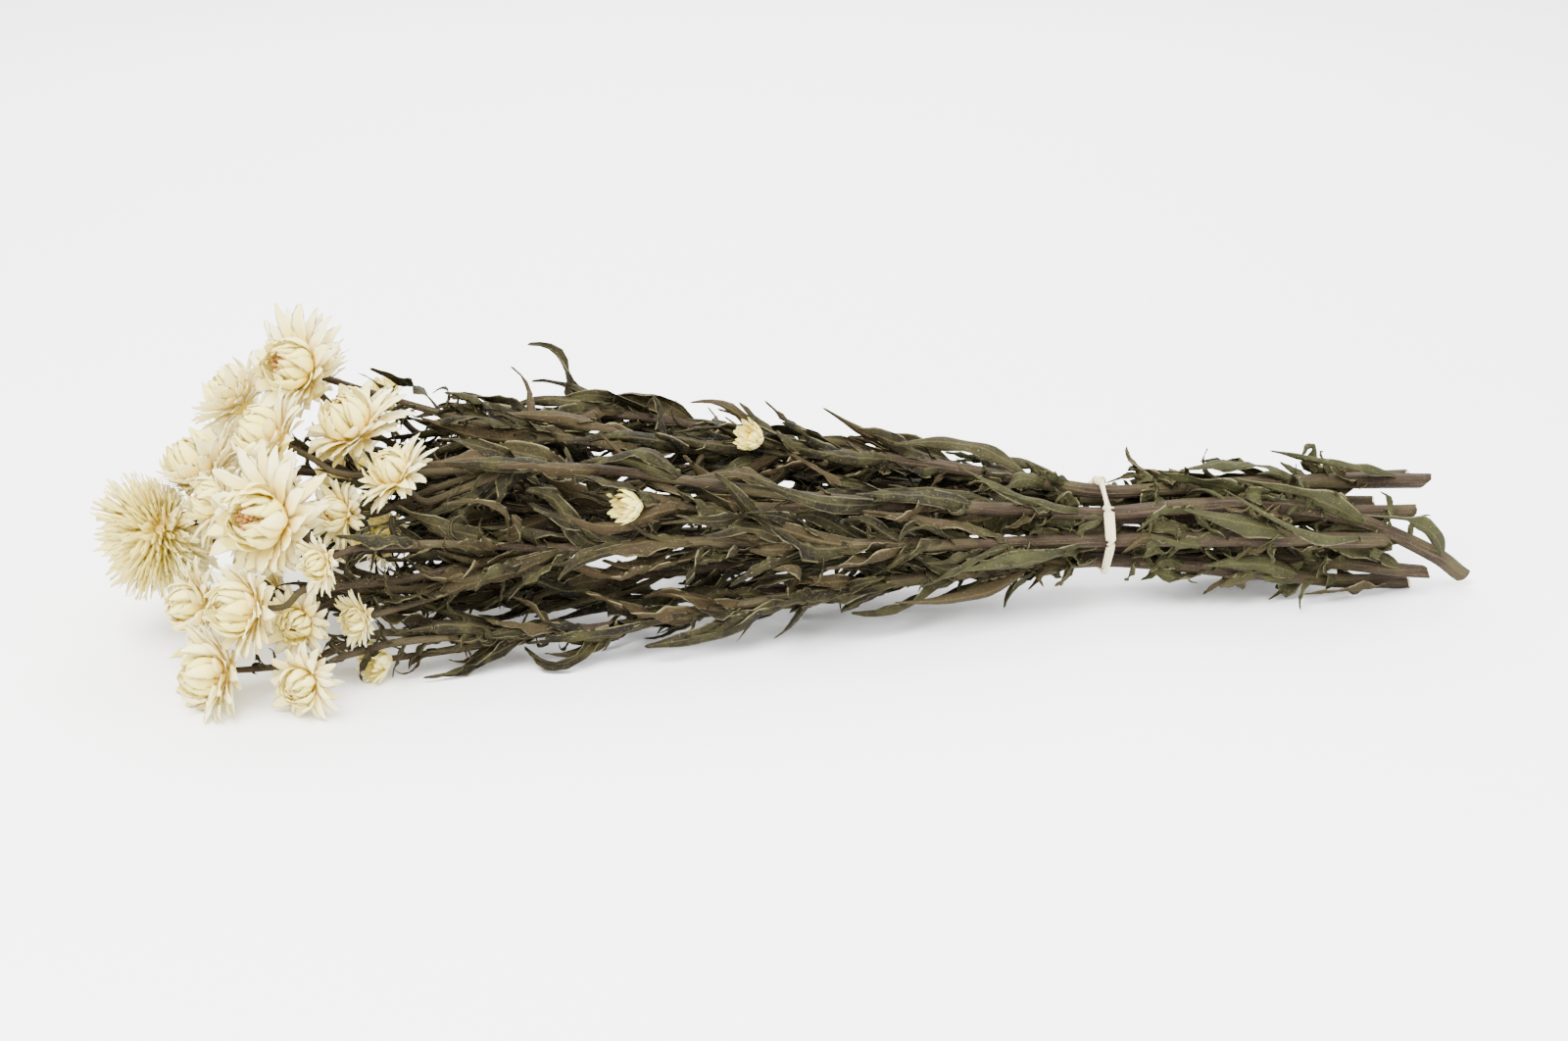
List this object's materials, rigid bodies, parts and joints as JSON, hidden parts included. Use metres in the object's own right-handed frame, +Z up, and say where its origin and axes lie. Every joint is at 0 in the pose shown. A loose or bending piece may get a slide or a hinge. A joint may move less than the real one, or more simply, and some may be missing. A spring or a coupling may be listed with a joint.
{
  "type": "dried strawflower bunch",
  "caption": "Tied bunch of dried strawflowers lying on its side: leafy brown stems held by one twisted pale band, papery cream heads at one end.",
  "frame": {"origin": "middle of the lowest plane of the bunch's bounding box, on the surface it lies on", "axes": "+X along the bunch towards the cut stem ends, heads at -X, +Z up from the surface"},
  "size_m": [0.5066, 0.1718, 0.1169],
  "materials": {
    "stem": "dried, matt, ribbed lengthwise",
    "bract": "papery, faint satin, cream with yellow bases",
    "tie": "matt twisted pale band"
  },
  "bodies": {
    "root": {"stem_a": "stem", "stem_b": "stem", "stem_c": "stem", "stem_d": "stem", "stem_e": "stem", "stem_f": "stem", "stem_g": "stem", "stem_h": "stem", "stem_i": "stem", "stem_j": "stem", "stem_k": "stem", "head_01": "bract", "head_02": "bract", "head_03": "bract", "head_04": "bract", "head_05": "bract", "head_06": "bract", "head_07": "bract", "head_08": "bract", "head_09": "bract", "head_10": "bract", "head_11": "bract", "head_12": "bract", "head_13": "bract", "head_14": "bract", "head_15": "bract", "head_16": "bract", "head_17": "bract", "head_18": "bract", "head_19": "bract", "head_20": "bract", "head_21": "bract", "head_22": "bract", "head_23": "bract", "head_24": "bract", "head_25": "bract", "head_26": "bract", "head_27": "bract", "head_28": "bract", "head_29": "bract", "head_30": "bract", "tie": "tie"}
  },
  "joints": []
}
